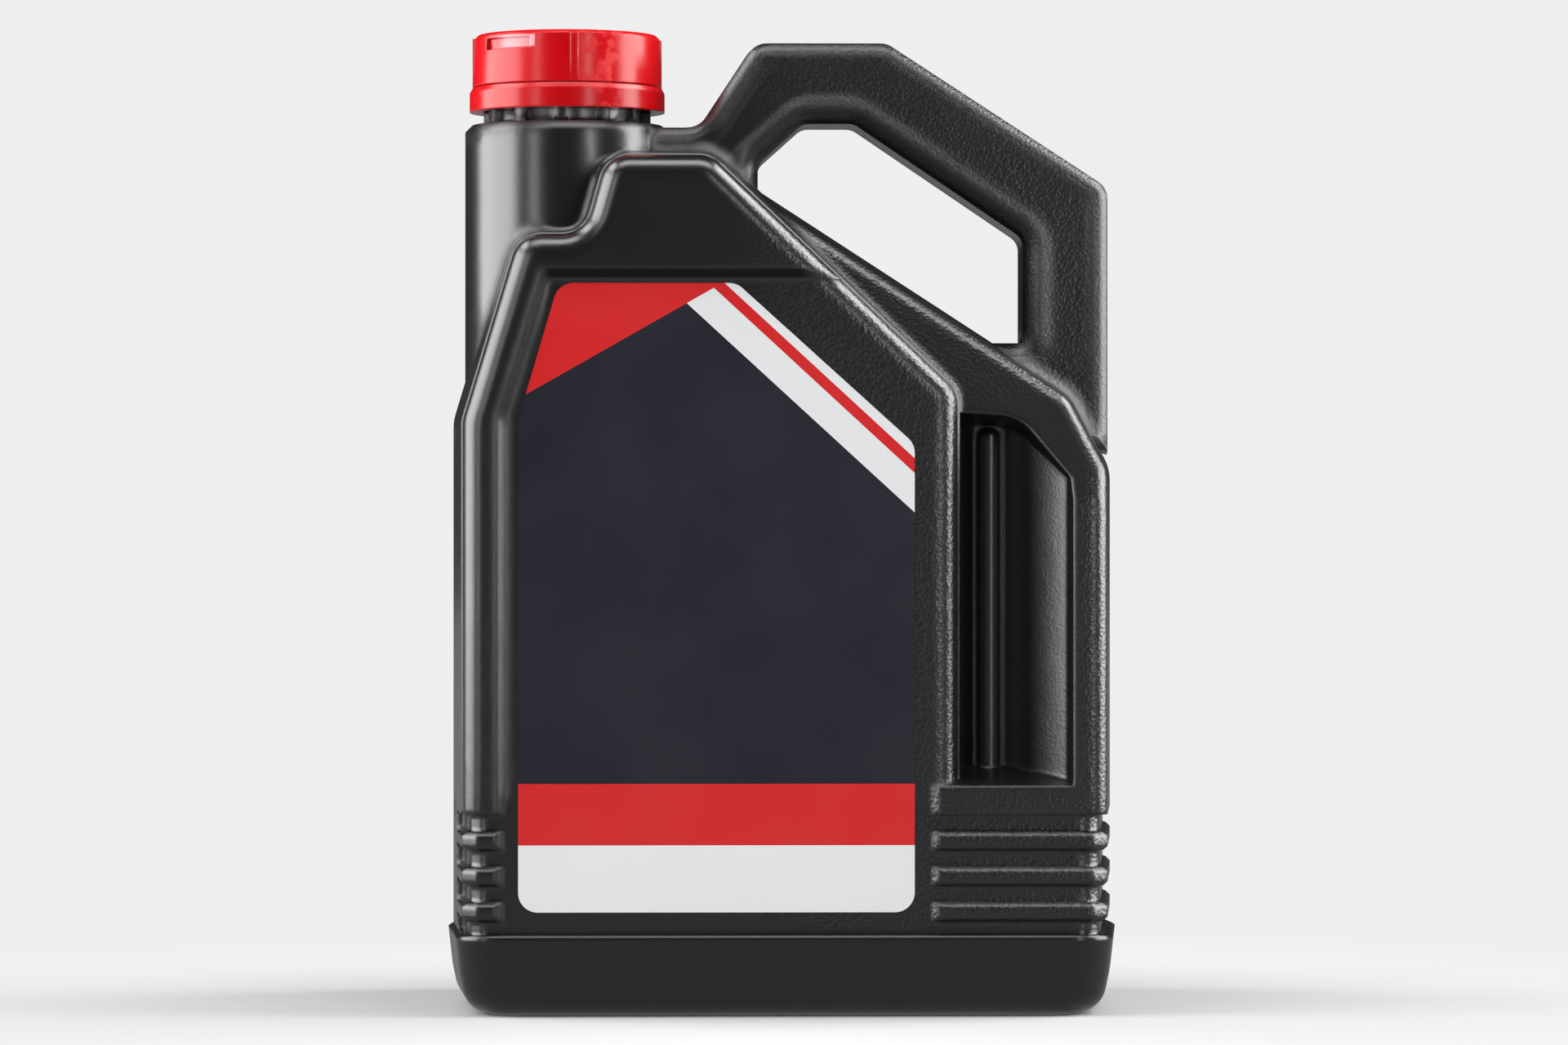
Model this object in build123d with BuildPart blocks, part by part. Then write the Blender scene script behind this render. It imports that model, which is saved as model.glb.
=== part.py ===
"""Motor oil bottle: a blow-moulded four-litre jug with a grip recess, a hollow handle and a screw cap.

Millimetres, +Z up, front towards -Y, origin at the middle of the base. The jug's two mould halves are
alike. One is drawn lying on its back, X across, Y up the bottle and Z out of the parting plane, then
mirrored and stood upright.
"""

import os
from math import radians, tan

from build123d import *

# Jug body
body_width = 196.0  # over the side walls at the parting plane
body_depth = 110.0  # over the front and back faces
plate_top = 250.0  # height of the front plate
draft = 5.0  # lean of the moulded walls, degrees
wall = 1.6
edge_round = 6.5  # rounding of the front edges
seam_step = 0.5  # step where the front plate meets the side walls
overrun = 4.0  # hidden lap of blocks and cuts

# Outline of the front plate, seen from the front
crown_left = 12.6  # neck's axis to the crown's left end
crown_width = 30.0
shelf_drop = 23.0  # plate top to the shelf beside the tower
shelf_left = 12.9  # neck's axis to the shelf's left end
shelf_right = 6.1  # neck's axis to the shelf's right end
side_drop = 77.0  # plate top to where the left wall starts to lean in
grip_inset = 47.7  # right wall to the plate's edge beside the grip recess
grip_drop = 68.5  # plate top to where the slope meets that edge
plate_round = 9.0

# Label panel sunk in the plate
panel_sink = 1.8
panel_bevel = 2.6
bar_width = 16.6  # left wall to the panel
panel_drop = 36.2  # plate top to the panel
panel_lean = 12.7  # how far the panel's left side leans in

# Shoulder and frame on the right of the plate
tip_inset = 3.5  # crown's right end to the shoulder's tip
tip_rise = 4.0
shoulder_inset = 12.0  # right wall to the shoulder's bend
shoulder_drop = 68.1  # plate top to the shoulder's bend
shoulder_fall = 22.4  # bend to the right wall
shoulder_round = 5.0
shoulder_corner = 14.0
fold_drop = 9.5  # the shoulder leans back down to this far below its end
fold_lean = 20.0
frame_lap = 8.2  # the frame reaches left of the grip's edge
frame_foot = 58.7

# Grip recess on each face
frame_bar = 13.5  # right wall to the recess
recess_foot = 67.0
recess_drop = 73.5  # plate top to the recess
recess_fall = 21.5  # lean of the recess's top end
recess_start = 19.0  # grip's edge to where that lean starts
recess_corner = 14.0
recess_draft = 14.0
recess_depth = 22.0  # front to the floor
slope_start = 4.3  # ridge to the foot of the recess's sloped sides
slope_head = 2.5  # head of the right slope to the recess's edge
slope_depth = 6.0  # front to the head of the right slope
left_slope_depth = 11.0  # front to the head of the left slope
ridge_radius = 3.4
ridge_inset = 9.7  # grip's edge to the ridge
ridge_drop = 5.5

# Ribs round the foot of the body
rib_count = 3
rib_pitch = 10.26
rib_height = 5.5
rib_edge = 1.2
rib_corner = 4.0
rib_first = 48.3  # underside of the top rib
groove_depth = 2.2  # on the side walls
left_stop = 22.0  # the left grooves end at this depth from the parting plane

# Base
base_height = 23.5
base_flare = 1.0  # lip beyond the walls
base_taper = 12.0
base_round = 9.0
base_corner = 12.0
foot_recess = 2.0
foot_ring = 22.0  # lip of the base to the hollow underneath

# Tower and neck
tower_inset = 33.9  # left wall to the neck's axis
tower_radius = 30.4
tower_rise = 11.5  # plate top to tower top
tower_edge = 2.0
neck_radius = 23.0
bore_radius = 20.0
neck_height = 24.0  # tower top to rim
collar_height = 9.0
lug_count = 12
lug_radius = 24.8
lug_width = 4.0
lug_angle = -93.0
rim_edge = 0.8

# Handle
handle_depth = 34.0
handle_draft = 3.0
handle_round = 4.0
handle_corner = 7.0
handle_rise = 24.5  # tower top to handle top
handle_bar = 24.5  # thickness of the top bar
root_drop = 0.5  # tower top to the handle's left root
handle_start = 16.5  # shoulder's tip to the handle's top
handle_width = 39.5  # of the flat top
handle_fall = 43.0  # handle top to its right shoulder
handle_inset = 1.0  # right wall to the handle's right side
handle_grip = 25.8  # width of the right bar
hole_round = 6.0
hole_corner = 5.0
hole_start = 17.6  # shoulder's tip to the hole
hole_lean = 13.4  # lean of the hole's left side
hole_width = 15.0  # of its flat top
hole_left_fall = 12.0
hole_right_fall = 34.0
hole_height = 65.0

# Closure
cap_radius = 27.6
cap_base_radius = 28.2
cap_top_thickness = 1.8
cap_wall = 1.7
cap_edge = 1.0
liner_thickness = 1.0
liner_margin = 0.4
band_radius = 29.06
band_height = 7.2
band_bevel = 1.6
band_lift = 4.0  # tower top to band
band_gap = 0.25
lug_clearance = 0.3
notch_height = 3.2
notch_drop = 2.0
notch_depth = 0.9
notch_width = 17.0
notch_angle = -130.0
cap_rib_width = 2.2
cap_rib_count = 4
cap_rib_angle = -84.5

# Label
label_thickness = 0.25
label_side_gap = 4.2  # panel's left edge to the label
label_right_gap = 4.6  # label to the frame
label_top_gap = 1.2
label_foot_gap = 7.0
label_lean_gap = 3.2
label_slope_start = 7.5  # crown's right end to the label's slope
label_slope_drop = 15.5  # plate's slope to the label's
label_round = 5.7

# Depths from the parting plane
front = body_depth / 2
panel_front = front - panel_sink
crease = panel_front - edge_round + 0.8
recess_floor = front - recess_depth
handle_half = handle_depth / 2
core_flare = seam_step + crease * tan(radians(draft))

# Places across the body
half_width = body_width / 2
plate_left = core_flare - half_width
neck_place = tower_inset - half_width
neck_axis = Axis((neck_place, 0, 0), (0, 0, 1))
plate_top_left = neck_place + crown_left
plate_top_right = plate_top_left + crown_width
panel_left = bar_width - half_width
panel_top_left = panel_left + panel_lean
tip = plate_top_right - tip_inset
grip_edge = half_width - grip_inset
frame_left = grip_edge - frame_lap
recess_right = half_width - frame_bar
ridge_place = grip_edge + ridge_inset
handle_right = half_width - handle_inset
handle_top_left = tip + handle_start
handle_top_right = handle_top_left + handle_width
hole_left = tip + hole_start
hole_right = handle_right - handle_grip
hole_top_left = hole_left + hole_lean
hole_top_right = hole_top_left + hole_width

# Heights
hidden_foot = base_height / 2
waist_head = frame_foot + panel_front * tan(radians(draft)) + overrun / 4
side_bend = plate_top - side_drop
shelf = plate_top - shelf_drop
grip_corner = plate_top - grip_drop
panel_top = plate_top - panel_drop
shoulder_bend = plate_top - shoulder_drop
shoulder_end = shoulder_bend - shoulder_fall
recess_top = plate_top - recess_drop
recess_side = recess_top - recess_fall
tower_top = plate_top + tower_rise
rim = tower_top + neck_height
band_foot = tower_top + band_lift
cap_foot = band_foot + band_height + band_gap
cap_top = rim + liner_thickness + cap_top_thickness
handle_top = tower_top + handle_rise
hole_top = handle_top - handle_bar


def plate_corners():
    """Front plate with its stepped left shoulder, seen from the front."""
    return [
        (plate_left, hidden_foot),
        (grip_edge, hidden_foot),
        (grip_edge, grip_corner),
        (plate_top_right, plate_top),
        (plate_top_left, plate_top),
        (neck_place + shelf_right, shelf),
        (neck_place - shelf_left, shelf),
        (plate_left, side_bend),
    ]


def handle_corners():
    """Handle seen from the front, its roots hidden in the tower and the shoulder."""
    return [
        (neck_place, recess_top + overrun),
        (frame_left, recess_top + overrun),
        (handle_right, shoulder_end + overrun),
        (handle_right, handle_top - handle_fall),
        (handle_top_right, handle_top),
        (handle_top_left, handle_top),
        (tip, tower_top - root_drop),
        (neck_place, tower_top - root_drop),
    ]


def hole_corners():
    """Hole of the handle seen from the front, its foot hidden behind the shoulder."""
    return [
        (hole_left, hole_top - hole_height),
        (hole_right, hole_top - hole_height),
        (hole_right, hole_top - hole_right_fall),
        (hole_top_right, hole_top),
        (hole_top_left, hole_top),
        (hole_left, hole_top - hole_left_fall),
    ]


def inner_sketch(corners, inset, corner):
    """A rounded outline's inside, one inset in, with flat corners."""
    with BuildSketch() as sketch:
        with BuildLine():
            Polyline(*corners, close=True)
        make_face()
        chamfer(sketch.vertices(), length=corner * 0.4)
        offset(amount=-inset, kind=Kind.INTERSECTION)
    return sketch.sketch


def plate_sketch(depth, grow=0.0):
    """Front plate in the plane at a depth."""
    with BuildSketch(Plane.XY.offset(depth)) as sketch:
        with BuildLine():
            FilletPolyline(*plate_corners(), radius=[0, 0] + [plate_round] * 6, close=True)
        make_face()
        if grow:
            offset(amount=grow)
    return sketch.sketch


def panel_sketch(depth, right, grow=0.0):
    """Ground of the label panel out to a right edge, in the plane at a depth."""
    with BuildSketch(Plane.XY.offset(depth)) as sketch:
        with BuildLine():
            Polyline(
                (panel_left, -hidden_foot),
                (right, -hidden_foot),
                (right, panel_top),
                (panel_top_left, panel_top),
                (panel_left, side_bend),
                close=True,
            )
        make_face()
        if grow:
            offset(amount=grow, kind=Kind.INTERSECTION)
    return sketch.sketch


def panel_pocket(right):
    """Sunk panel with its bevelled border, from the panel's ground outwards."""
    sections = [panel_sketch(panel_front, right).face(), panel_sketch(front, right, panel_bevel).face()]
    with BuildPart() as pocket:
        loft(sections)
    return pocket.part


def shoulder_sketch(grow=0.0):
    """Shoulder and frame beside the plate, in the parting plane."""
    with BuildSketch() as sketch:
        with BuildLine():
            FilletPolyline(
                (half_width, hidden_foot),
                (half_width, shoulder_end),
                (half_width - shoulder_inset, shoulder_bend),
                (tip, plate_top + tip_rise),
                (tip, hidden_foot),
                radius=[0, shoulder_corner, shoulder_corner, 0, 0],
                close=True,
            )
        make_face()
        if grow:
            offset(amount=grow)
    return sketch.sketch


def shoulder_solid(inset=0.0, rounding=0.0):
    """Shoulder and frame as one drafted block that leans back above the fold."""
    lean = tan(radians(fold_lean))
    fold = Plane((0, shoulder_end - fold_drop, front), z_dir=(0, lean, 1)).offset(-inset)
    with BuildPart() as block:
        extrude(shoulder_sketch(-inset), amount=front - inset, taper=draft)
        split(bisect_by=fold, keep=Keep.BOTTOM)
        if rounding:
            front_edges = block.faces().filter_by(lambda face: face.normal_at().Z > 0.5).edges()
            outer_edges = front_edges.filter_by(Axis.X, reverse=True)
            fillet(outer_edges.filter_by(lambda edge: edge.center().X > tip + overrun), radius=rounding)
    return block.part


def recess_solid(grow=0.0):
    """Grip recess: a sloped section up the bottle, cut to the opening's outline."""
    left = frame_left - overrun
    top_lean = recess_fall / (recess_right - grip_edge - recess_start)
    with BuildPart() as recess:
        with BuildSketch(Plane.XZ.offset(-recess_foot / 2)):
            with BuildLine():
                Polyline(
                    (left, front - left_slope_depth - grow),
                    (grip_edge, front - left_slope_depth - grow),
                    (ridge_place - slope_start, recess_floor - grow),
                    (ridge_place + slope_start + grow / 2, recess_floor - grow),
                    (recess_right - slope_head + grow, front - slope_depth - grow / 2),
                    (recess_right + grow, front + overrun),
                    (left, front + overrun),
                    close=True,
                )
            make_face()
        extrude(amount=-plate_top)
        with BuildSketch(Plane.XY.offset(front)):
            with BuildLine():
                FilletPolyline(
                    (left, recess_foot - grow),
                    (half_width, recess_foot - grow),
                    (half_width, recess_side - frame_bar * top_lean + grow),
                    (grip_edge + recess_start, recess_top + grow),
                    (left, recess_top + overrun / 2 + grow),
                    radius=[0, 0, 0, recess_corner, 0],
                    close=True,
                )
            make_face()
        extrude(amount=-front, taper=recess_draft, mode=Mode.INTERSECT)
    return recess.part


def foot_sketch(rise=0.0):
    """What the plate and the frame leave free below their foot."""
    with BuildSketch() as sketch:
        with Locations((0, frame_foot + rise - body_width)):
            Rectangle(3 * body_width, 2 * body_width)
    return sketch.sketch


def bar_end_sketch(inset=0.0):
    """What the frame's lowest bar leaves free beyond its left end."""
    with BuildSketch() as sketch:
        with Locations((frame_left + inset - body_width, recess_top / 2)):
            Rectangle(2 * body_width, recess_top)
    return sketch.sketch


def waist_sketch(left, right, foot, head):
    """Part of the body's width between two heights, in the parting plane."""
    with BuildSketch() as sketch:
        with BuildLine():
            Polyline((left, foot), (right, foot), (right, head), (left, head), close=True)
        make_face()
    return sketch.sketch


def handle_sketch():
    """Outline of the handle, in the parting plane."""
    with BuildSketch() as sketch:
        with BuildLine():
            FilletPolyline(*handle_corners(), radius=[0, 0, 0] + [handle_corner] * 4 + [0], close=True)
        make_face()
    return sketch.sketch


def hole_sketch():
    """Outline of the handle's hole, in the parting plane."""
    with BuildSketch() as sketch:
        with BuildLine():
            FilletPolyline(*hole_corners(), radius=[0, 0] + [hole_corner] * 4, close=True)
        make_face()
    return sketch.sketch


def base_corners():
    """Plan of the body at the base's lip, wider at the parting plane than at the faces."""
    side = half_width + base_flare
    face = front + base_flare / 2
    narrow = side - face * tan(radians(draft))
    return [(side, 0), (narrow, face), (-narrow, face), (-side, 0), (-narrow, -face), (narrow, -face)]


# Walls under the plate, with the draft of the mould
with BuildPart() as core:
    extrude(plate_sketch(0, core_flare), amount=crease, taper=draft)
    extrude(foot_sketch(), amount=body_depth, mode=Mode.SUBTRACT)

# Label panel, and the raised bar and crown round it
with BuildPart() as panel:
    extrude(plate_sketch(handle_half), amount=panel_front - handle_half)
    fillet(panel.faces().sort_by(Axis.Z)[-1].edges(), radius=edge_round)
    extrude(foot_sketch(), amount=body_depth, mode=Mode.SUBTRACT)

with BuildPart() as crown:
    extrude(plate_sketch(handle_half), amount=front - handle_half)
    fillet(crown.faces().sort_by(Axis.Z)[-1].edges(), radius=edge_round)
    extrude(panel_sketch(0, body_width), amount=panel_front, mode=Mode.SUBTRACT)
    add(panel_pocket(body_width), mode=Mode.SUBTRACT)
    extrude(foot_sketch(), amount=body_depth, mode=Mode.SUBTRACT)

# Shoulder and frame on the right, with the grip recess cut in
with BuildPart() as shoulder:
    add(shoulder_solid(rounding=shoulder_round))
    extrude(foot_sketch(), amount=body_depth, mode=Mode.SUBTRACT)
    extrude(bar_end_sketch(), amount=body_depth, mode=Mode.SUBTRACT)
    add(panel_pocket(frame_left), mode=Mode.SUBTRACT)
    add(recess_solid(), mode=Mode.SUBTRACT)

# Ridge that stiffens the floor of the grip recess
with BuildPart() as ridge:
    with BuildSketch(Plane.XZ.offset(-frame_foot)):
        with Locations((ridge_place, recess_floor)):
            Circle(ridge_radius)
    extrude(amount=frame_foot - recess_top + ridge_drop)
    chamfer(ridge.faces().sort_by(Axis.Y)[-1].edges(), length=ridge_radius * 0.6)

# Ground behind the ribs, and one of the ribs that stand on it left and right of the panel
with BuildPart() as waist:
    ground = half_width - groove_depth
    extrude(waist_sketch(-ground, ground, hidden_foot, waist_head), amount=panel_front, taper=draft)
    fillet(waist.faces().sort_by(Axis.Z)[-1].edges().filter_by(Axis.Y), radius=edge_round)

with BuildPart() as rib:
    extrude(waist_sketch(-half_width, half_width, hidden_foot, plate_top), amount=front, taper=draft)
    chamfer(rib.faces().sort_by(Axis.Z)[-1].edges().filter_by(Axis.Y), length=rib_corner)
    split(bisect_by=Plane((0, rib_first, 0), z_dir=(0, 1, 0)), keep=Keep.TOP)
    split(bisect_by=Plane((0, rib_first + rib_height, 0), z_dir=(0, 1, 0)), keep=Keep.BOTTOM)
    rims = rib.faces().filter_by(Axis.Y).edges().filter_by(lambda edge: edge.center().Z > 0.1)
    chamfer(rims, length=rib_edge)
    add(panel_pocket(frame_left), mode=Mode.SUBTRACT)

# Strip of the left wall that closes the grooves there
with BuildPart() as left_strip:
    extrude(waist_sketch(-half_width, panel_left, hidden_foot, waist_head), amount=left_stop, taper=draft)

# Handle, a flat ring of bars with bevelled edges
with BuildPart() as handle:
    extrude(handle_sketch(), amount=handle_half, taper=handle_draft)
    chamfer(handle.faces().sort_by(Axis.Z)[-1].outer_wire().edges(), length=handle_round * 0.7)
    extrude(hole_sketch(), amount=handle_half, mode=Mode.SUBTRACT)
    chamfer(handle.faces().sort_by(Axis.Z)[-1].inner_wires()[0].edges(), length=hole_round * 0.7)

# One mould half of the outside, then both halves
with BuildPart() as jug:
    for block in (core, panel, crown, shoulder, ridge, waist, left_strip, handle):
        add(block.part)
    with Locations(*[(0, -number * rib_pitch, 0) for number in range(rib_count)]):
        add(rib.part)
    mirror(about=Plane.XY)

# Hollow of the jug, one wall inside the same outlines
with BuildPart() as core_hollow:
    wide = inner_sketch(plate_corners(), wall - core_flare, plate_round)
    narrow = inner_sketch(plate_corners(), edge_round, plate_round)
    extrude(wide, amount=panel_front - edge_round, taper=draft)
    extrude(narrow, amount=panel_front - wall)
    extrude(foot_sketch(), amount=body_depth, mode=Mode.SUBTRACT)

with BuildPart() as shoulder_hollow:
    add(shoulder_solid(inset=1.5 * wall))
    extrude(foot_sketch(wall), amount=body_depth, mode=Mode.SUBTRACT)
    extrude(bar_end_sketch(panel_bevel + wall), amount=body_depth, mode=Mode.SUBTRACT)
    add(recess_solid(wall), mode=Mode.SUBTRACT)

with BuildPart() as waist_hollow:
    inside = ground - wall
    extrude(
        waist_sketch(-inside, inside, foot_recess + wall, recess_foot - wall),
        amount=panel_front - wall,
        taper=draft,
    )
    chamfer(waist_hollow.faces().sort_by(Axis.Z)[-1].edges().filter_by(Axis.Y), length=edge_round - wall)
    bottom = waist_hollow.faces().sort_by(Axis.Y)[0].edges()
    chamfer(bottom.filter_by(lambda edge: edge.center().Z > 1), length=base_round - 2 * wall)

with BuildPart() as handle_hollow:
    extrude(inner_sketch(handle_corners(), wall, handle_corner), amount=handle_half - hole_round)
    extrude(inner_sketch(hole_corners(), -wall, hole_corner), amount=handle_half, mode=Mode.SUBTRACT)

with BuildPart() as handle_hollow_front:
    extrude(inner_sketch(handle_corners(), handle_round + wall / 2, handle_corner), amount=handle_half - wall)
    extrude(inner_sketch(hole_corners(), -hole_round, hole_corner), amount=handle_half, mode=Mode.SUBTRACT)

with BuildPart() as hollow:
    for block in (core_hollow, shoulder_hollow, waist_hollow, handle_hollow, handle_hollow_front):
        add(block.part)
    mirror(about=Plane.XY)

# Base with its tapered foot, drawn upside down and hollowed underneath to stand on a ring
with BuildPart() as base:
    with BuildSketch():
        with BuildLine():
            Polyline(*base_corners(), close=True)
        make_face()
    extrude(amount=base_height, taper=base_taper)
    corners = base.edges().filter_by_position(Axis.Z, base_height / 4, base_height * 3 / 4)
    fillet(corners.filter_by(lambda edge: abs(edge.center().Y) > 1), radius=base_corner)
    fillet(base.faces().sort_by(Axis.Z)[-1].edges(), radius=base_round)
    chamfer(base.faces().sort_by(Axis.Z)[0].edges(), length=rib_edge / 2)
    with BuildSketch(Plane.XY.offset(base_height)):
        with BuildLine():
            Polyline(*base_corners(), close=True)
        make_face()
        offset(amount=-foot_ring, kind=Kind.INTERSECTION)
        chamfer(vertices(), length=base_corner / 2)
    extrude(amount=-foot_recess, mode=Mode.SUBTRACT)

# Tower with the neck and its lugs
with BuildPart() as tower:
    with BuildSketch(Plane.XY.offset(side_bend)):
        with Locations((neck_place, 0)):
            Circle(tower_radius)
    extrude(amount=tower_top - side_bend)
    chamfer(tower.faces().sort_by(Axis.Z)[-1].edges(), length=tower_edge)
    with BuildSketch(Plane.XY.offset(tower_top - wall)):
        with Locations((neck_place, 0)):
            Circle(neck_radius)
    extrude(amount=neck_height + wall)
    chamfer(tower.faces().sort_by(Axis.Z)[-1].edges(), length=rim_edge)
    with BuildSketch(Plane.XY.offset(tower_top - wall)):
        with Locations((neck_place, 0)):
            with PolarLocations((neck_radius + lug_radius) / 2 - 0.5, lug_count, start_angle=lug_angle):
                Rectangle(lug_radius - neck_radius + 1, lug_width)
    extrude(amount=collar_height + wall)

with BuildPart() as bottle:
    add(jug.part, rotation=(90, 0, 0))
    with Locations((0, 0, base_height)):
        add(base.part, rotation=(180, 0, 0))
    add(tower.part)
    add(hollow.part, rotation=(90, 0, 0), mode=Mode.SUBTRACT)
    with BuildSketch(Plane.XY.offset(side_bend)):
        with Locations((neck_place, 0)):
            Circle(tower_radius - wall)
    extrude(amount=tower_top - wall - side_bend, mode=Mode.SUBTRACT)
    with BuildSketch(Plane.XY.offset(side_bend)):
        with Locations((neck_place, 0)):
            Circle(bore_radius)
    extrude(amount=rim + 1 - side_bend, mode=Mode.SUBTRACT)

# Label film on the front panel
with BuildPart() as front_label:
    label_left = panel_left + label_side_gap
    label_right = frame_left - label_right_gap
    label_foot = base_height + label_foot_gap
    label_top = panel_top - label_top_gap
    with BuildSketch(Plane.XZ.offset(panel_front)):
        with BuildLine():
            FilletPolyline(
                (label_left, label_foot),
                (label_right, label_foot),
                (label_right, grip_corner - label_slope_drop),
                (plate_top_right + label_slope_start, label_top),
                (panel_top_left + label_lean_gap, label_top),
                (label_left, side_bend),
                radius=label_round,
                close=True,
            )
        make_face()
    extrude(amount=label_thickness)

# Band that stays on the neck, held by the lugs
with BuildPart() as tamper_band:
    with BuildSketch(Plane.XZ):
        with BuildLine():
            band_bore = lug_radius + lug_clearance
            Polyline(
                (neck_place + band_bore, band_foot),
                (neck_place + band_radius, band_foot),
                (neck_place + band_radius, band_foot + band_height - band_bevel),
                (neck_place + cap_base_radius, band_foot + band_height),
                (neck_place + band_bore, band_foot + band_height),
                close=True,
            )
        make_face()
    revolve(axis=neck_axis)

# Cap with its grip ribs and the two pockets under its top edge
with BuildPart() as screw_cap:
    with BuildSketch(Plane.XZ):
        with BuildLine():
            cap_bore = cap_radius - cap_wall
            ceiling = cap_top - cap_top_thickness
            Polyline(
                (neck_place, cap_top),
                (neck_place, ceiling),
                (neck_place + cap_bore, ceiling),
                (neck_place + cap_bore, cap_foot),
                (neck_place + cap_base_radius, cap_foot),
                (neck_place + cap_radius, cap_top - cap_edge),
                (neck_place + cap_radius - cap_edge, cap_top),
                close=True,
            )
        make_face()
    revolve(axis=neck_axis)
    with BuildSketch(Plane.XY.offset(cap_foot)):
        with Locations((neck_place, 0)):
            with PolarLocations(cap_base_radius - cap_wall / 2, cap_rib_count, start_angle=cap_rib_angle):
                Rectangle(cap_wall, cap_rib_width)
    extrude(amount=cap_top - cap_edge - cap_foot)
    with BuildSketch(Plane.XY.offset(cap_top - notch_drop - notch_height)):
        with Locations((neck_place, 0)):
            with PolarLocations(cap_radius, 2, start_angle=notch_angle):
                Rectangle(cap_radius / 2, notch_width)
            Circle(cap_radius - notch_depth, mode=Mode.SUBTRACT)
    extrude(amount=notch_height, mode=Mode.SUBTRACT)

with BuildPart() as cap_liner:
    with BuildSketch(Plane.XY.offset(rim)):
        with Locations((neck_place, 0)):
            Circle(cap_bore - liner_margin)
    extrude(amount=liner_thickness)

bottle.part.label = "bottle"
front_label.part.label = "front_label"
tamper_band.part.label = "tamper_band"
screw_cap.part.label = "screw_cap"
cap_liner.part.label = "cap_liner"

os.makedirs("parts", exist_ok=True)
export_step(bottle.part, "parts/bottle.step")
export_step(front_label.part, "parts/front_label.step")
export_step(tamper_band.part, "parts/tamper_band.step")
export_step(screw_cap.part, "parts/screw_cap.step")
export_step(cap_liner.part, "parts/cap_liner.step")
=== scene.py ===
"""Looks of the motor oil bottle: moulded black plastic, printed label, red screw cap, soft studio light."""

import math

import bmesh
import bpy
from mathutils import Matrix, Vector


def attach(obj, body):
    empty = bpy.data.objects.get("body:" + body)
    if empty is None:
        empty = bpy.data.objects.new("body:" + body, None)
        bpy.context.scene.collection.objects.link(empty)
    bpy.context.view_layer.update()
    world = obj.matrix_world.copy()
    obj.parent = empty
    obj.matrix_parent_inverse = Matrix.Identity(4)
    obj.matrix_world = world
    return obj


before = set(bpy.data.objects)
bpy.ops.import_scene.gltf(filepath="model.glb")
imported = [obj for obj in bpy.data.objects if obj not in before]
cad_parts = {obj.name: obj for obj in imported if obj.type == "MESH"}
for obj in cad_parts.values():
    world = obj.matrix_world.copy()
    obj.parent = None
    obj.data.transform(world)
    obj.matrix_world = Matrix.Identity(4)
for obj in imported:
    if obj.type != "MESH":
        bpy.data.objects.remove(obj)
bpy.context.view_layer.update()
scene = bpy.context.scene

# Camera, in metres from the middle of the base
CAMERA_DISTANCE = 1.70
CAMERA_HEIGHT = 0.1433
CAMERA_AZIMUTH = -1.0  # degrees towards the left side
CAMERA_LENS = 130.7
CAMERA_SENSOR = 36.0
CAMERA_SHIFT = 0.0006

# Neck and closure, in metres
NECK_X = -0.0641
NECK_RADIUS = 0.023
CAP_BORE = 0.0259
THREAD_LEAD = 0.006
THREAD_TURNS = 1.75
THREAD_HEIGHT = 0.0011
THREAD_FOOT_HALF = 0.0012
THREAD_CREST_HALF = 0.0005
THREAD_SUNK = 0.1  # share of its height by which a thread reaches into what carries it
NECK_THREAD_FOOT = 0.2722
CAP_THREAD_FOOT = 0.2748

# Base, in metres and degrees
BASE_HEIGHT = 0.0235
BASE_SIDE = 0.0990
BASE_FACE = 0.0555
BASE_TAPER = 12.0
BASE_LEAN = 5.0
BASE_ROUND = 0.0090
BASE_CORNER = 0.0120
BASE_SKIN = 0.0002
BASE_LIP = 0.0004

# Colours as they look on the object, in sRGB
BOTTLE_DARK = (0.062, 0.062, 0.069)
BOTTLE_PALE = (0.080, 0.080, 0.089)
CAP_RED = (0.76, 0.02, 0.06)
# Painted reflection: the pale pink of light mirrored inside the pocket at the cap's top edge
CAP_POCKET_REFLECTION = (0.93, 0.62, 0.64)
PRINT_RED = (0.815, 0.115, 0.125)
PRINT_NAVY = (0.112, 0.109, 0.155)
PRINT_WHITE = (0.89, 0.895, 0.90)
LINER_WHITE = (0.88, 0.88, 0.86)
BACKDROP = (0.935, 0.935, 0.935)
FLOOR = (0.75, 0.75, 0.75)
FLOOR_MIRRORED = (0.60, 0.60, 0.60)

# Edges between the fields of the label's print: two points each, across and up, in metres
CORNER_EDGE = ((-0.0752, 0.1802), (-0.0206, 0.2112))
STRIPE_FOOT = ((-0.0284, 0.2067), (0.0374, 0.1463))
LINE_FOOT = ((-0.0206, 0.2112), (0.0374, 0.1577))
LINE_HEAD = ((-0.0175, 0.2126), (0.0374, 0.1620))
RED_BAND_TOP = 0.0677
WHITE_BAND_TOP = 0.0499

# Borders of the fields in the bottle's finish: out of the field and into it, in metres
GRAIN_LEFT = (-0.030, 0.012)
GRAIN_FOOT = (0.0235, 0.0275)
RIBS_TOP = (0.058, 0.068)
RECESS_LEFT = (0.048, 0.052)
RECESS_RIGHT = (0.088, 0.084)
RECESS_FOOT = (0.062, 0.067)
RECESS_HEAD = (0.184, 0.174)
LEFT_BAR_RIGHT = (-0.066, -0.072)
HANDLE_SIDE = (0.0185, 0.0165)  # off the parting plane
SEAM_SIDE = (0.0007, 0.0002)  # off the parting plane

# Groove at the foot of the crown, on the front only: relief by bump, with painted shade from its cut gloss
GROOVE_FOOT = (0.2137, 0.2146)
GROOVE_HEAD = (0.2172, 0.2163)
GROOVE_LEFT = (-0.0700, -0.0680)
GROOVE_RIGHT = (0.0100, 0.0040)
GROOVE_FRONT = (-0.040, -0.044)

# Radii to which the bottle's finish rounds its edges, in metres
RIB_ROUND = 0.0020
BODY_ROUND = 0.0032
RECESS_EXTRA = -0.0010
LEFT_BAR_EXTRA = 0.0018
HANDLE_EXTRA = 0.0034
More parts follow.
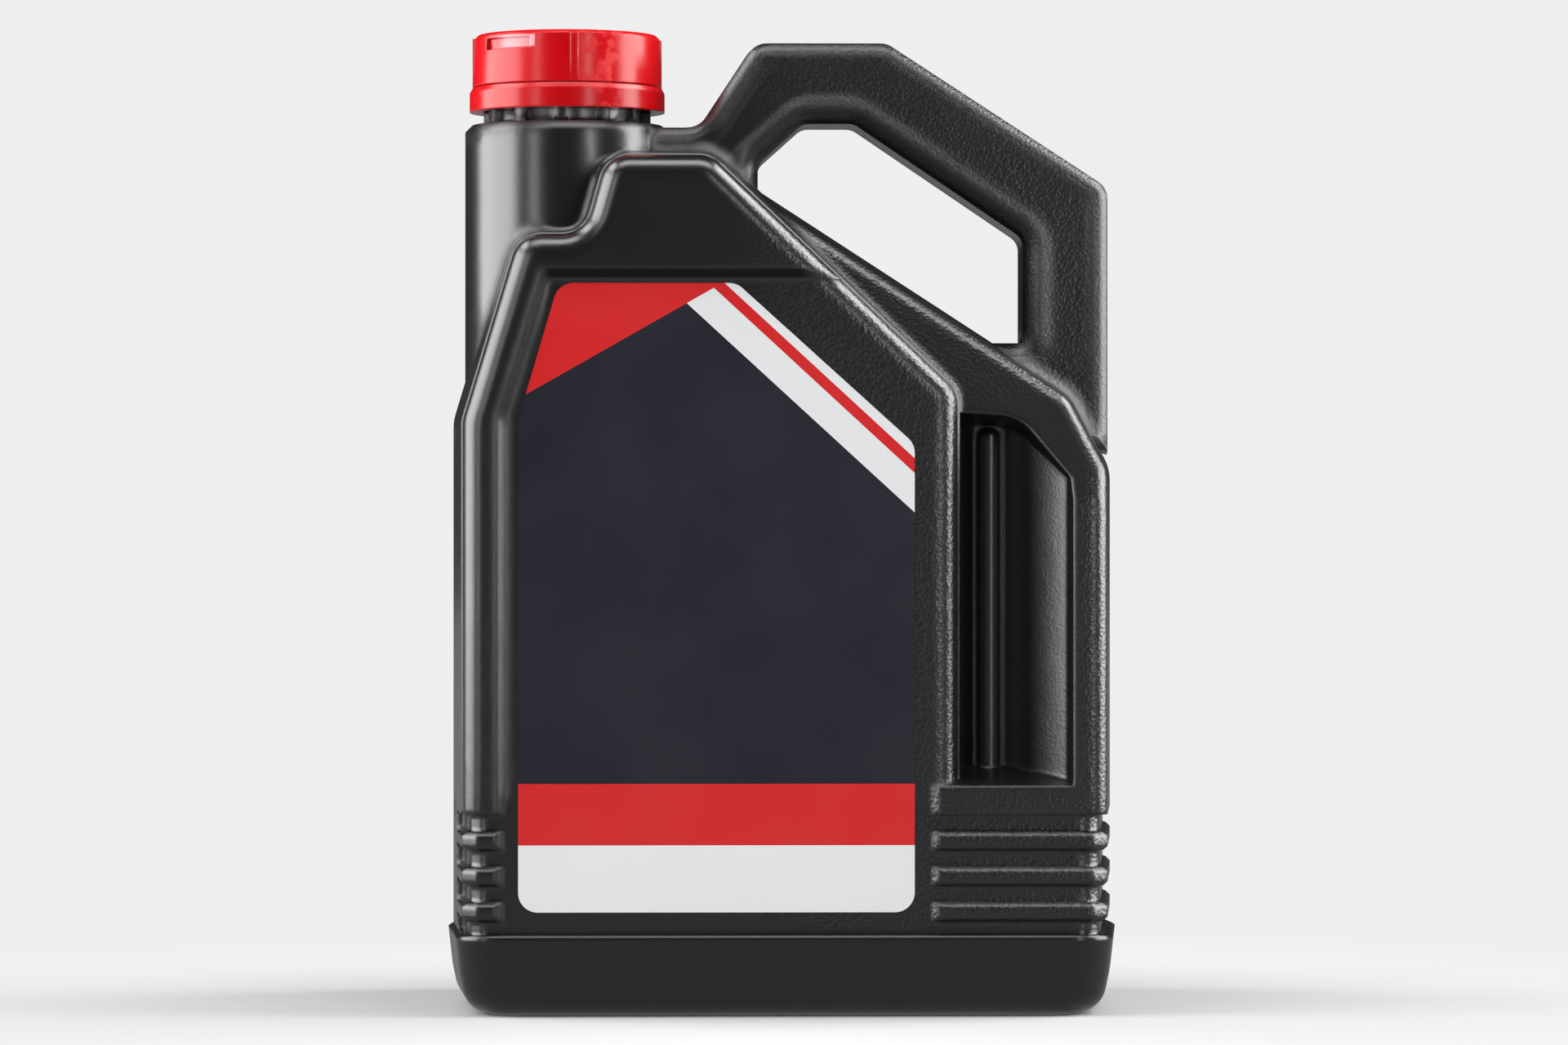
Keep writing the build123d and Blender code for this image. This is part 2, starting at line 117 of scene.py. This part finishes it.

# Frosted patch on the cap, in metres, and the pocket at its top edge, in radians round the neck and metres;
# past POCKET_LIT the pocket's inside takes a painted reflection
PATCH_LEFT = (-0.062, -0.055)
PATCH_RIGHT = (-0.044, -0.052)
POCKET_START = (-2.53, -2.50)
POCKET_END = (-1.89, -1.92)
POCKET_LIT = (-2.45, -2.25)
POCKET_FOOT = (0.2832, 0.2837)
POCKET_HEAD = (0.2872, 0.2867)

# Backdrop: distances between which the lit paper gives way to an even tone, in metres
PAPER_FADE = (0.13, 0.36)
PAPER_HALF = 8.0
ROOM_GLOW = 0.03

# Lamps: name, place, point that it faces, size, power in watts
LAMPS = (
    ("left_softbox", (-1.33, -0.08, 0.40), (0, 0, 0.15), (1.4, 1.2), 32.5),
    ("right_softbox", (1.33, 0.00, 0.40), (0, 0, 0.15), (1.0, 1.2), 30.5),
    ("left_strip", (-1.05, -1.34, 0.45), (0, 0, 0.15), (0.25, 1.2), 3.4),
    ("right_strip", (0.72, -1.54, 0.45), (0, 0, 0.15), (0.18, 1.2), 4.4),
    ("top_softbox", (0.0, -0.28, 1.25), (0, 0, 0.2), (1.2, 0.45), 9),
    ("upper_left_softbox", (-0.85, 0.10, 1.08), (0, 0, 0.2), (0.8, 0.36), 6),
    ("upper_right_softbox", (0.85, 0.10, 1.08), (0, 0, 0.2), (0.8, 0.36), 9),
)


def linear(colour):
    """An sRGB colour as the linear RGBA that shader sockets take."""
    return tuple(c / 12.92 if c <= 0.04045 else ((c + 0.055) / 1.055) ** 2.4 for c in colour) + (1.0,)


class Shader:
    """A material's node tree with short calls for the nodes used here."""

    def __init__(self, name, colour, roughness):
        self.material = bpy.data.materials.new(name)
        self.material.use_nodes = True
        self.tree = self.material.node_tree
        self.surface = self.tree.nodes["Principled BSDF"]
        self.feed("Base Color", linear(colour))
        self.feed("Roughness", roughness)
        self.place = self.tree.nodes.new("ShaderNodeTexCoord").outputs["Object"]
        axes = self.tree.nodes.new("ShaderNodeSeparateXYZ")
        self.link(self.place, axes.inputs["Vector"])
        self.x, self.y, self.z = axes.outputs["X"], axes.outputs["Y"], axes.outputs["Z"]

    def link(self, output, socket):
        """Feeds a socket from an output, or sets it where a plain value is given."""
        if isinstance(output, bpy.types.NodeSocket):
            self.tree.links.new(output, socket)
        else:
            socket.default_value = output

    def feed(self, name, output):
        """Feeds an input of the surface, from an output or with a plain value."""
        self.link(output, self.surface.inputs[name])

    def math(self, operation, *values):
        node = self.tree.nodes.new("ShaderNodeMath")
        node.operation = operation
        for value, socket in zip(values, node.inputs):
            self.link(value, socket)
        return node.outputs["Value"]

    def step(self, value, border, low=0.0, high=1.0):
        """Eases from low to high while a value crosses a border, from its first number to its second."""
        node = self.tree.nodes.new("ShaderNodeMapRange")
        node.interpolation_type = "SMOOTHSTEP"
        self.link(value, node.inputs["Value"])
        for name, number in zip(("From Min", "From Max", "To Min", "To Max"), (*border, low, high)):
            node.inputs[name].default_value = number
        return node.outputs["Result"]

    def blend(self, share, low, high):
        """Eases from low to high while a share goes from 0 to 1."""
        return self.step(share, (0.0, 1.0), low, high)

    def overlap(self, first, *others):
        """The product of fields: 1 where all of them are 1."""
        for other in others:
            first = self.math("MULTIPLY", first, other)
        return first

    def noise(self, scale, detail=3.0, roughness=0.5):
        node = self.tree.nodes.new("ShaderNodeTexNoise")
        self.link(self.place, node.inputs["Vector"])
        node.inputs["Scale"].default_value = scale
        node.inputs["Detail"].default_value = detail
        node.inputs["Roughness"].default_value = roughness
        return node.outputs["Fac"]

    def pebbles(self, scale):
        """Rounded cells, as in a leather grain."""
        node = self.tree.nodes.new("ShaderNodeTexVoronoi")
        node.feature = "SMOOTH_F1"
        self.link(self.place, node.inputs["Vector"])
        node.inputs["Scale"].default_value = scale
        node.inputs["Smoothness"].default_value = 0.6
        return node.outputs["Distance"]

    def mix(self, factor, first, second):
        """One colour over another."""
        node = self.tree.nodes.new("ShaderNodeMix")
        node.data_type = "RGBA"
        self.link(factor, node.inputs["Factor"])
        self.link(first, node.inputs[6])
        self.link(second, node.inputs[7])
        return node.outputs[2]

    def rounded(self, radius):
        """Normals that round off sharp edges and inner corners."""
        node = self.tree.nodes.new("ShaderNodeBevel")
        node.samples = 8
        self.link(radius, node.inputs["Radius"])
        return node.outputs["Normal"]

    def bump(self, height, strength, distance, below=None):
        """Relief on the surface, over the normals of what lies below it."""
        node = self.tree.nodes.new("ShaderNodeBump")
        self.link(height, node.inputs["Height"])
        self.link(strength, node.inputs["Strength"])
        node.inputs["Distance"].default_value = distance
        if below is not None:
            self.link(below, node.inputs["Normal"])
        self.feed("Normal", node.outputs["Normal"])
        return node.outputs["Normal"]

    def above(self, edge):
        """1 on the upper side of a line across the label, 0 below it."""
        (x0, z0), (x1, z1) = edge
        slope = (z1 - z0) / (x1 - x0)
        line = self.math("MULTIPLY_ADD", self.x, slope, z0 - slope * x0)
        return self.math("GREATER_THAN", self.z, line)


def bottle_plastic():
    """Black blow-moulded plastic: satin left and at the base, leather grain on the right and the handle."""
    shader = Shader("bottle_plastic", BOTTLE_DARK, 0.25)
    x, y, z = shader.x, shader.y, shader.z
    off_seam = shader.math("ABSOLUTE", y)

    # Fields of the finish
    off_base = shader.step(z, GRAIN_FOOT)
    grain = shader.overlap(shader.step(x, GRAIN_LEFT), off_base)
    handle = shader.step(off_seam, HANDLE_SIDE)
    seam = shader.step(off_seam, SEAM_SIDE)
    left_bar = shader.overlap(shader.step(x, LEFT_BAR_RIGHT), shader.step(z, RIBS_TOP))
    recess = shader.overlap(
        shader.step(x, RECESS_LEFT),
        shader.step(x, RECESS_RIGHT),
        shader.step(z, RECESS_FOOT),
        shader.step(z, RECESS_HEAD),
    )
    groove_and_shade = shader.overlap(
        shader.step(z, GROOVE_FOOT),
        shader.step(z, GROOVE_HEAD),
        shader.step(x, GROOVE_LEFT),
        shader.step(x, GROOVE_RIGHT),
        shader.step(y, GROOVE_FRONT),
    )

    # Tone and gloss; the gloss cut in the groove is painted shade
    shader.feed("Base Color", shader.mix(shader.noise(60.0, 4.0), linear(BOTTLE_DARK), linear(BOTTLE_PALE)))
    shader.feed("Roughness", shader.blend(grain, 0.25, 0.29))
    gloss = shader.blend(off_base, 0.74, 0.95)
    # Painted shade: in the groove the gloss drops to near nothing, so the groove reads dark as if shaded
    shader.feed("Specular IOR Level", shader.math("MULTIPLY_ADD", groove_and_shade, -0.80, gloss))

    # Relief: rounded edges, the mould's seam, the groove, slight waves and the grain
    radius = shader.step(z, RIBS_TOP, RIB_ROUND, BODY_ROUND)
    for field, extra in ((recess, RECESS_EXTRA), (left_bar, LEFT_BAR_EXTRA), (handle, HANDLE_EXTRA)):
        radius = shader.math("MULTIPLY_ADD", field, extra, radius)
    relief = shader.bump(seam, 0.5, 0.0004, below=shader.rounded(radius))
    relief = shader.bump(groove_and_shade, -1.0, 0.0009, below=relief)
    relief = shader.bump(shader.noise(45.0, 2.0), 0.10, 0.002, below=relief)
    grain_strength = shader.blend(shader.math("MULTIPLY_ADD", recess, -0.7, grain), 0.03, 0.30)
    shader.bump(shader.pebbles(1050.0), grain_strength, 0.00035, below=relief)
    return shader.material


def cap_plastic(name, tint):
    """Glossy red plastic, slightly milky, with a pocket at its top edge whose inside carries a painted
    reflection, and a frosted patch by the rib.
    """
    colour = tuple(channel * tint for channel in CAP_RED)
    frosted = tuple(min(1.0, channel + 0.13) for channel in colour)
    shader = Shader(name, colour, 0.24)
    shader.feed("Specular IOR Level", 0.38)
    shader.feed("Subsurface Weight", 0.12)
    shader.feed("Subsurface Radius", (0.004, 0.0012, 0.0012))

    scuff = shader.step(shader.noise(260.0, 5.0, 0.65), (0.46, 0.66))
    by_rib = shader.overlap(shader.step(shader.x, PATCH_LEFT), shader.step(shader.x, PATCH_RIGHT))
    patch = shader.overlap(scuff, by_rib)
    turn = shader.math("ARCTAN2", shader.y, shader.math("SUBTRACT", shader.x, NECK_X))
    pocket = shader.overlap(
        shader.step(turn, POCKET_START),
        shader.step(turn, POCKET_END),
        shader.step(shader.z, POCKET_FOOT),
        shader.step(shader.z, POCKET_HEAD),
    )

    # Painted reflection: the pocket's inside eases from the cap's red to pale pink across POCKET_LIT
    pocket_reflection = shader.mix(shader.step(turn, POCKET_LIT), linear(colour), linear(CAP_POCKET_REFLECTION))
    tone = shader.mix(shader.math("MULTIPLY", patch, 0.6), linear(colour), linear(frosted))
    shader.feed("Base Color", shader.mix(pocket, tone, pocket_reflection))
    shader.feed("Roughness", shader.blend(patch, 0.24, 0.55))
    sunk = shader.bump(pocket, -0.9, 0.0009, below=shader.rounded(0.0007))
    shader.bump(shader.noise(300.0, 3.0), 0.10, 0.0006, below=sunk)
    return shader.material


def label_print():
    """Printed film: plain fields of red, white and navy under a satin varnish."""
    shader = Shader("label_print", PRINT_NAVY, 0.34)
    red, white, navy = linear(PRINT_RED), linear(PRINT_WHITE), linear(PRINT_NAVY)
    haze = shader.noise(35.0, 4.0)
    tone = shader.mix(haze, navy, linear(tuple(channel * 1.12 for channel in PRINT_NAVY)))
    for edge, colour in ((STRIPE_FOOT, white), (CORNER_EDGE, red), (LINE_FOOT, red), (LINE_HEAD, white)):
        tone = shader.mix(shader.above(edge), tone, colour)
    for top, colour in ((RED_BAND_TOP, red), (WHITE_BAND_TOP, white)):
        tone = shader.mix(shader.math("LESS_THAN", shader.z, top), tone, colour)
    shader.feed("Base Color", tone)
    shader.feed("Roughness", shader.step(haze, (0.3, 0.7), 0.30, 0.40))
    shader.bump(shader.noise(25.0, 2.0), 0.06, 0.002)
    return shader.material


def liner_foam():
    """Pale foamed sealing disc."""
    shader = Shader("liner_foam", LINER_WHITE, 0.7)
    shader.bump(shader.pebbles(1800.0), 0.25, 0.0002)
    return shader.material


def backdrop_paper():
    """Pale paper: it takes the shadow near the object, has an even tone further off, and mirrors weakly."""
    shader = Shader("backdrop_paper", FLOOR, 0.9)
    shader.feed("Specular IOR Level", 0.1)
    nodes, links = shader.tree.nodes, shader.tree.links
    rays = nodes.new("ShaderNodeLightPath").outputs
    distance = nodes.new("ShaderNodeVectorMath")
    distance.operation = "LENGTH"
    links.new(shader.place, distance.inputs[0])
    far = shader.step(distance.outputs["Value"], PAPER_FADE)
    seen = shader.math("MAXIMUM", rays["Is Camera Ray"], rays["Is Transmission Ray"])
    look = shader.surface.outputs["BSDF"]
    for tone, share in ((BACKDROP, shader.overlap(far, seen)), (FLOOR_MIRRORED, rays["Is Glossy Ray"])):
        glow = nodes.new("ShaderNodeEmission")
        glow.inputs["Color"].default_value = linear(tone)
        both = nodes.new("ShaderNodeMixShader")
        links.new(share, both.inputs["Fac"])
        links.new(look, both.inputs[1])
        links.new(glow.outputs["Emission"], both.inputs[2])
        look = both.outputs["Shader"]
    links.new(look, nodes["Material Output"].inputs["Surface"])
    return shader.material


def dress(node, material):
    """Gives a CAD node its material."""
    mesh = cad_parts[node].data
    mesh.materials.clear()
    mesh.materials.append(material)


def mesh_object(name, vertices, faces, material, body):
    """A new smooth mesh piece that rides on a body."""
    mesh = bpy.data.meshes.new(name)
    mesh.from_pydata(vertices, [], faces)
    mesh.polygons.foreach_set("use_smooth", [True] * len(mesh.polygons))
    mesh.materials.append(material)
    piece = bpy.data.objects.new(name, mesh)
    scene.collection.objects.link(piece)
    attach(piece, body)
    return piece


def thread(name, radius, height, foot, material, body):
    """A screw thread: a trapezoid section carried round the neck's axis, thinning out at both ends."""
    steps_per_turn = 72
    run_out = 9
    steps = int(THREAD_TURNS * steps_per_turn)
    profile = (
        (-THREAD_FOOT_HALF, 0.0),
        (-THREAD_CREST_HALF, 1.0),
        (THREAD_CREST_HALF, 1.0),
        (THREAD_FOOT_HALF, 0.0),
    )
    vertices = []
    for number in range(steps + 1):
        angle = 2 * math.pi * number / steps_per_turn
        rise = foot + THREAD_LEAD * number / steps_per_turn
        swell = min(1.0, number / run_out, (steps - number) / run_out)
        for lift, crest in profile:
            reach = radius + height * (crest * swell * (1 + THREAD_SUNK) - THREAD_SUNK)
            vertices.append((NECK_X + reach * math.cos(angle), reach * math.sin(angle), rise + lift))
    count = len(profile)
    faces = []
    for number in range(steps):
        for side in range(count):
            first = number * count + side
            second = number * count + (side + 1) % count
            faces.append((first, second, second + count, first + count))
    faces.append(tuple(range(count)))
    faces.append(tuple(reversed(range(steps * count, (steps + 1) * count))))
    piece = mesh_object(name, vertices, faces, material, body)
    edit = bmesh.new()
    edit.from_mesh(piece.data)
    bmesh.ops.recalc_face_normals(edit, faces=edit.faces)
    edit.to_mesh(piece.data)
    edit.free()


def base_levels():
    """Rings of the base's skin from the lip to the ground: height, half width, half depth."""
    taper = math.tan(math.radians(BASE_TAPER))
    top = BASE_HEIGHT + BASE_LIP
    lip = ((0.0, 0.0040, 0.0040), (0.0, 0.0008, 0.0009), (0.00015, 0.0003, 0.0003))
    wall = ((0.0231, 0.0006), (0.0222, 0.0007), (0.01175, 0.00175), (0.0082, 0.00175))
    foot_swell = 0.00155
    levels = []
    for fall, side_inset, face_inset in lip:
        levels.append((top - fall, BASE_SIDE - side_inset, BASE_FACE - face_inset))
    for height, swell in wall:
        inset = (BASE_HEIGHT - height) * taper
        levels.append((height, BASE_SIDE - inset + swell, BASE_FACE - inset + BASE_SKIN))
    centre = (BASE_HEIGHT - BASE_ROUND) * taper + BASE_ROUND / math.cos(math.radians(BASE_TAPER))
    for degrees in range(12, 80, 8):
        angle = math.radians(degrees)
        reach = (BASE_ROUND + BASE_SKIN) * math.cos(angle) - centre
        height = BASE_ROUND - BASE_ROUND * math.sin(angle)
        levels.append((height, BASE_SIDE + reach + foot_swell, BASE_FACE + reach))
    return levels


def base_ring(height, side, face):
    """One closed ring of the base's skin, with leaning sides and round corners."""
    lean = math.radians(BASE_LEAN)
    margin = 0.004
    corner_steps = 10
    middle_y = face - BASE_CORNER
    middle_x = side - middle_y * math.tan(lean) - BASE_CORNER / math.cos(lean)
    quarter = [(side - (middle_y - margin) * math.tan(lean), middle_y - margin)]
    for number in range(corner_steps + 1):
        angle = lean + (math.pi / 2 - lean) * number / corner_steps
        quarter.append((middle_x + BASE_CORNER * math.cos(angle), middle_y + BASE_CORNER * math.sin(angle)))
    quarter.append((middle_x - margin, face))
    half = [(side, 0.0)] + quarter + [(-x, y) for x, y in reversed(quarter)]
    return [(x, y, height) for x, y in half + [(-x, -y) for x, y in half]]


def base_shell(material):
    """Smooth outer skin of the base: a lip on top, tapered sides, and a rounding down to the ground."""
    rings = [base_ring(*level) for level in base_levels()]
    vertices = [vertex for ring in rings for vertex in ring]
    count = len(rings[0])
    faces = []
    for level in range(len(rings) - 1):
        for number in range(count):
            first = level * count + number
            second = level * count + (number + 1) % count
            faces.append((second, first, first + count, second + count))
    mesh_object("base_shell", vertices, faces, material, "body")


def backdrop():
    """Wide paper floor."""
    corners = ((-1, -1), (1, -1), (1, 1), (-1, 1))
    mesh = bpy.data.meshes.new("backdrop")
    mesh.from_pydata([(x * PAPER_HALF, y * PAPER_HALF, 0.0) for x, y in corners], [], [(0, 1, 2, 3)])
    mesh.materials.append(backdrop_paper())
    sheet = bpy.data.objects.new("backdrop", mesh)
    scene.collection.objects.link(sheet)


def area_light(name, place, target, size, power):
    """A softbox at a place, facing a target."""
    lamp = bpy.data.lights.new(name, "AREA")
    lamp.shape = "RECTANGLE"
    lamp.size, lamp.size_y = size
    lamp.energy = power
    holder = bpy.data.objects.new(name, lamp)
    holder.location = place
    holder.rotation_mode = "QUATERNION"
    holder.rotation_quaternion = (Vector(target) - Vector(place)).to_track_quat("-Z", "Y")
    scene.collection.objects.link(holder)


def studio_world():
    """Dark room for the light on the object, the backdrop's tone where the camera looks past the floor."""
    world = bpy.data.worlds.new("studio")
    world.use_nodes = True
    nodes, links = world.node_tree.nodes, world.node_tree.links
    room = nodes["Background"]
    room.inputs["Color"].default_value = (1, 1, 1, 1)
    room.inputs["Strength"].default_value = ROOM_GLOW
    paper = nodes.new("ShaderNodeBackground")
    paper.inputs["Color"].default_value = linear(BACKDROP)
    rays = nodes.new("ShaderNodeLightPath")
    both = nodes.new("ShaderNodeMixShader")
    links.new(rays.outputs["Is Camera Ray"], both.inputs["Fac"])
    links.new(room.outputs["Background"], both.inputs[1])
    links.new(paper.outputs["Background"], both.inputs[2])
    links.new(both.outputs["Shader"], nodes["World Output"].inputs["Surface"])
    scene.world = world


def studio_camera():
    """Level camera in front of the object, slightly to its left."""
    camera_data = bpy.data.cameras.new("camera")
    camera_data.lens = CAMERA_LENS
    camera_data.sensor_width = CAMERA_SENSOR
    camera = bpy.data.objects.new("camera", camera_data)
    turn = math.radians(CAMERA_AZIMUTH)
    across = CAMERA_SHIFT + CAMERA_DISTANCE * math.sin(turn)
    camera.location = (across, -CAMERA_DISTANCE * math.cos(turn), CAMERA_HEIGHT)
    camera.rotation_euler = (math.radians(90), 0, turn)
    scene.collection.objects.link(camera)
    scene.camera = camera


# Finishes of the CAD nodes
bottle_black = bottle_plastic()
cap_red = cap_plastic("cap_plastic", 1.0)
dress("bottle", bottle_black)
dress("screw_cap", cap_red)
dress("tamper_band", cap_plastic("band_plastic", 0.97))
dress("front_label", label_print())
dress("cap_liner", liner_foam())

# Skin of the base
base_shell(bottle_black)

# Threads of neck and cap, with room between their crests
thread("neck_thread", NECK_RADIUS, THREAD_HEIGHT, NECK_THREAD_FOOT, bottle_black, "body")
thread("cap_thread", CAP_BORE, -THREAD_HEIGHT, CAP_THREAD_FOOT, cap_red, "cap")

# Studio
backdrop()
for lamp_values in LAMPS:
    area_light(*lamp_values)
studio_world()
studio_camera()
scene.view_settings.view_transform = "Standard"
